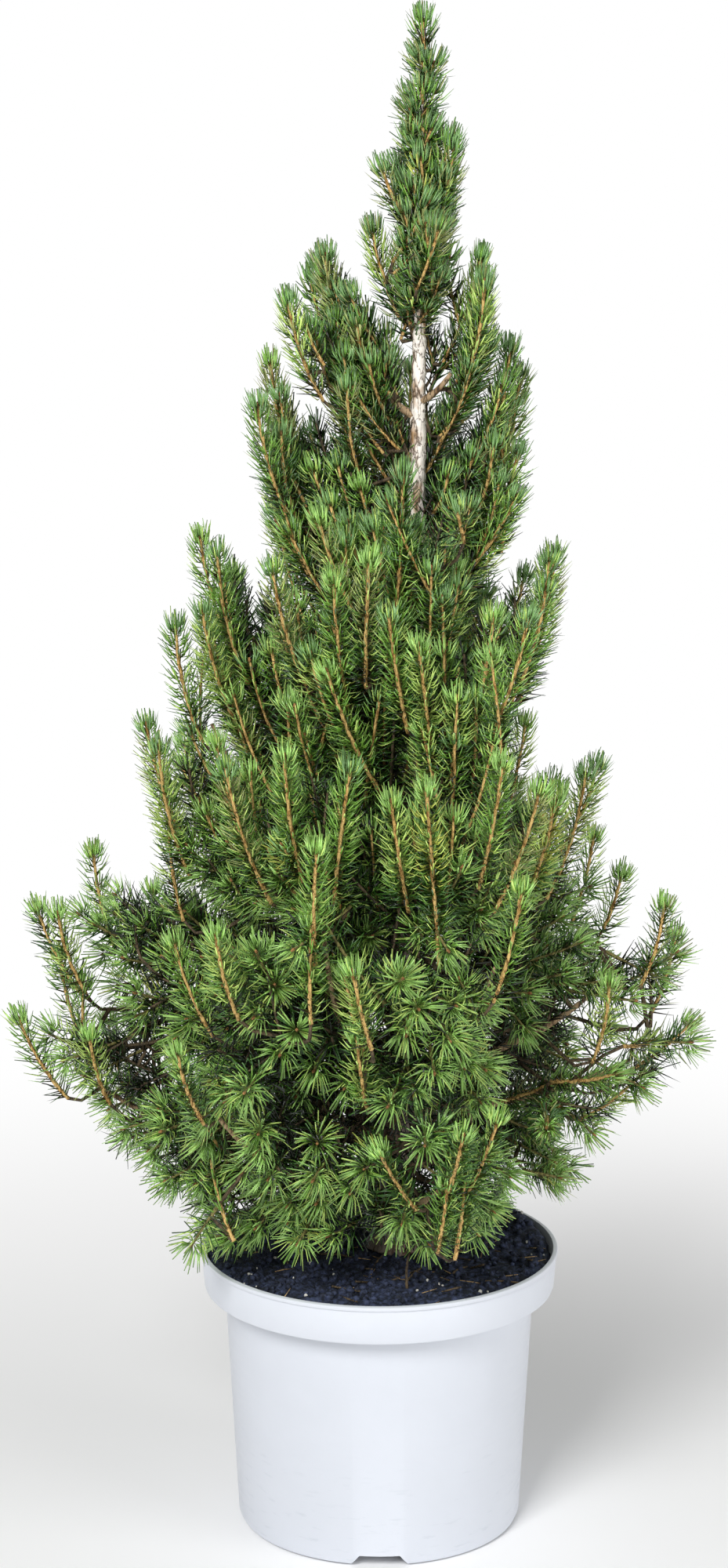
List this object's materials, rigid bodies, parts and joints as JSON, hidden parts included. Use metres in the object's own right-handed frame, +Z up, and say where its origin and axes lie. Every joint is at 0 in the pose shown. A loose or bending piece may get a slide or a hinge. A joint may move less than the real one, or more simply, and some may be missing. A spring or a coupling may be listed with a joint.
{
  "type": "potted alberta spruce",
  "caption": "Dwarf Alberta spruce: a small cone-shaped conifer with upright brush-like shoots, growing in a plain white plastic nursery pot filled with dark compost.",
  "frame": {"origin": "middle of the flat underside of the pot, on the surface that it stands on", "axes": "+Z up along the trunk; -Y is the front, where the pot's foot has a notch; +X is to the right when seen from the front"},
  "size_m": [0.3698, 0.3206, 0.791],
  "materials": {
    "pot": "satin",
    "soil": "matte",
    "bark": "matte",
    "foliage": "matte"
  },
  "bodies": {
    "root": {"bough_first_back_left": "bark", "bough_first_back_right": "bark", "bough_first_front": "bark", "bough_first_front_left": "bark", "bough_first_left": "bark", "bough_first_right": "bark", "bough_lowest_back_left": "bark", "bough_lowest_back_right": "bark", "bough_lowest_front": "bark", "bough_lowest_front_left": "bark", "bough_lowest_left": "bark", "bough_lowest_right": "bark", "bough_second_back_left": "bark", "bough_second_back_right": "bark", "bough_second_front_left": "bark", "bough_second_front_right": "bark", "bough_second_left": "bark", "bough_second_right": "bark", "bough_third_back": "bark", "bough_third_front_left": "bark", "bough_third_front_right": "bark", "bough_third_left": "bark", "bough_third_right": "bark", "bough_upper_back": "bark", "bough_upper_front": "bark", "bough_upper_left": "bark", "bough_upper_right": "bark", "foliage_first_back_left": "foliage", "foliage_first_back_right": "foliage", "foliage_first_front": "foliage", "foliage_first_front_left": "foliage", "foliage_first_left": "foliage", "foliage_first_right": "foliage", "foliage_lowest_back_left": "foliage", "foliage_lowest_back_right": "foliage", "foliage_lowest_front": "foliage", "foliage_lowest_front_left": "foliage", "foliage_lowest_left": "foliage", "foliage_lowest_right": "foliage", "foliage_second_back_left": "foliage", "foliage_second_back_right": "foliage", "foliage_second_front_left": "foliage", "foliage_second_front_right": "foliage", "foliage_second_left": "foliage", "foliage_second_right": "foliage", "foliage_spire": "foliage", "foliage_third_back": "foliage", "foliage_third_front_left": "foliage", "foliage_third_front_right": "foliage", "foliage_third_left": "foliage", "foliage_third_right": "foliage", "foliage_top_left": "foliage", "foliage_top_right": "foliage", "foliage_upper_back": "foliage", "foliage_upper_front": "foliage", "foliage_upper_left": "foliage", "foliage_upper_right": "foliage", "pot": "pot", "soil": "soil", "trunk": "bark"}
  },
  "joints": []
}
